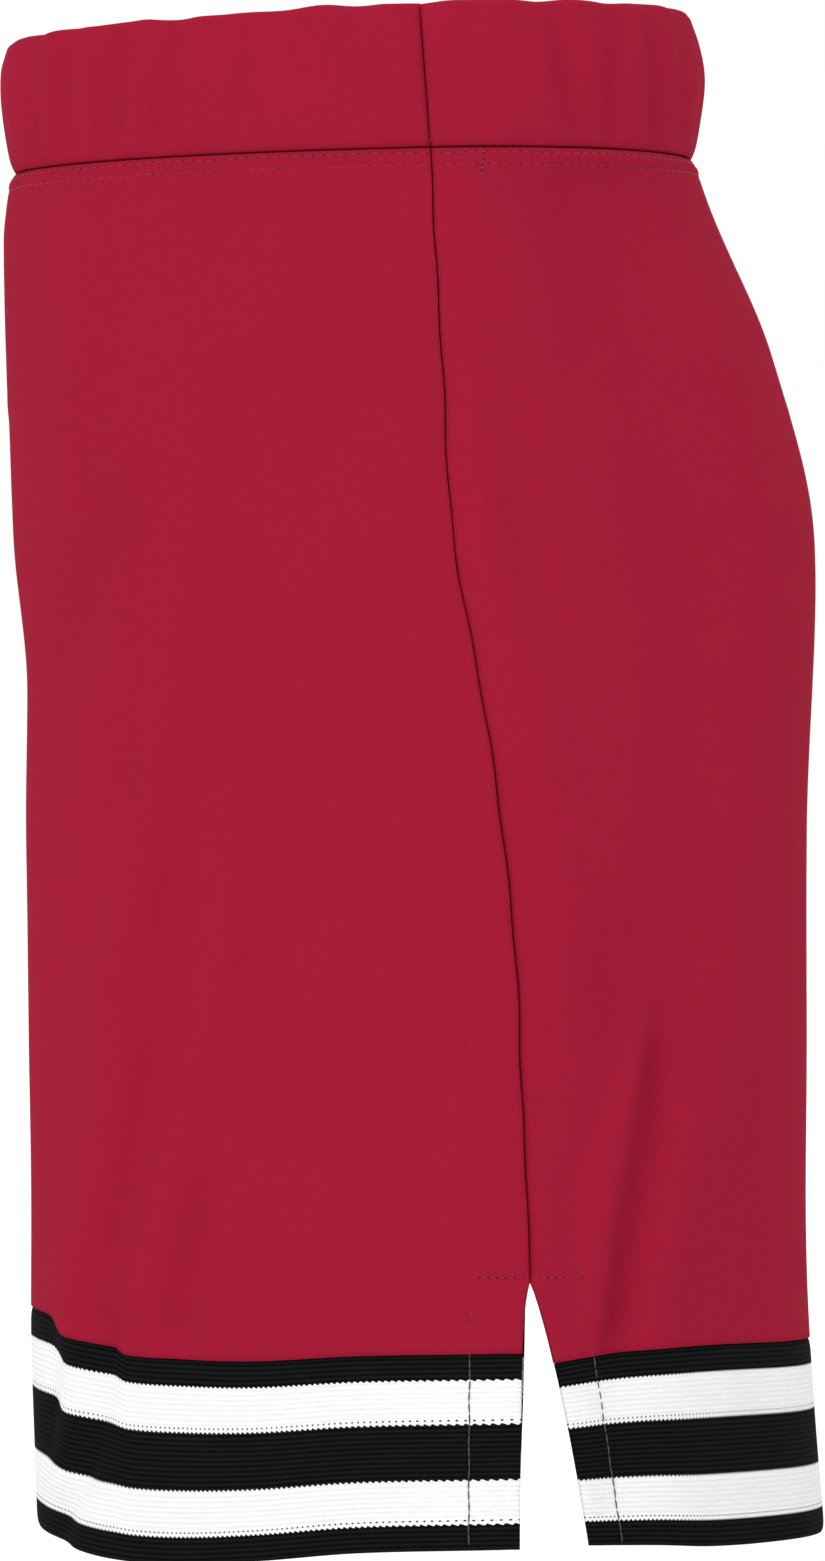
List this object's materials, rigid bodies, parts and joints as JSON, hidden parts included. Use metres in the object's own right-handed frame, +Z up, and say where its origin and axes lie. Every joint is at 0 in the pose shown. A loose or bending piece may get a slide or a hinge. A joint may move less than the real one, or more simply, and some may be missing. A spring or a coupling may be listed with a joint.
{
  "type": "hockey pants",
  "caption": "Children's wide-leg knit hockey pants with an elastic waistband, swinging legs, open vents and black and white striped rib cuffs.",
  "frame": {"origin": "centre of the waist opening, level with the waist edge at the side seams", "axes": "+Z up, -X towards the wearer's front, -Y towards the wearer's left leg"},
  "size_m": [0.2339, 0.2082, 0.4356],
  "materials": {
    "red_knit": "brushed-back jersey knit, matt",
    "striped_rib": "one-by-one rib knit in black, with two white stripes knitted in",
    "elastic": "woven elastic braid",
    "overlock_thread": "overlocked seam allowance",
    "red_thread": "twin-needle stitching thread, slight sheen",
    "black_thread": "topstitching thread, slight sheen",
    "label_satin": "blank satin label"
  },
  "bodies": {
    "hips": {"waistband_front": "red_knit", "waistband_back": "red_knit", "waist_elastic": "elastic", "waist_seam": "overlock_thread", "waist_coverstitch_upper": "red_thread", "waist_coverstitch_lower": "red_thread", "front_rise_seam": "overlock_thread", "back_rise_seam": "overlock_thread", "care_label": "label_satin", "left_waistband_seam": "overlock_thread", "left_hip_side_seam": "overlock_thread", "left_front_hip_panel": "red_knit", "left_back_hip_panel": "red_knit", "right_waistband_seam": "overlock_thread", "right_hip_side_seam": "overlock_thread", "right_front_hip_panel": "red_knit", "right_back_hip_panel": "red_knit"},
    "left_leg": {"left_leg_side_seam": "overlock_thread", "left_inseam": "overlock_thread", "left_side_vent_bar_stitch": "red_thread", "left_inner_vent_bar_stitch": "red_thread", "left_front_leg_panel": "red_knit", "left_front_cuff": "striped_rib", "left_front_cuff_seam": "overlock_thread", "left_front_side_vent_stitching": "black_thread", "left_front_inner_vent_stitching": "black_thread", "left_back_leg_panel": "red_knit", "left_back_cuff": "striped_rib", "left_back_cuff_seam": "overlock_thread", "left_back_side_vent_stitching": "black_thread", "left_back_inner_vent_stitching": "black_thread"},
    "right_leg": {"right_leg_side_seam": "overlock_thread", "right_inseam": "overlock_thread", "right_side_vent_bar_stitch": "red_thread", "right_inner_vent_bar_stitch": "red_thread", "right_front_leg_panel": "red_knit", "right_front_cuff": "striped_rib", "right_front_cuff_seam": "overlock_thread", "right_front_side_vent_stitching": "black_thread", "right_front_inner_vent_stitching": "black_thread", "right_back_leg_panel": "red_knit", "right_back_cuff": "striped_rib", "right_back_cuff_seam": "overlock_thread", "right_back_side_vent_stitching": "black_thread", "right_back_inner_vent_stitching": "black_thread"}
  },
  "joints": [
    {"name": "left_hip_swing", "type": "hinge", "parent": "hips", "child": "left_leg", "pos_m": [0.002, -0.045, -0.078], "axis": [0, 1, 0], "range_deg": [-20, 35]},
    {"name": "right_hip_swing", "type": "hinge", "parent": "hips", "child": "right_leg", "pos_m": [0.002, 0.045, -0.078], "axis": [0, 1, 0], "range_deg": [-20, 35]}
  ]
}
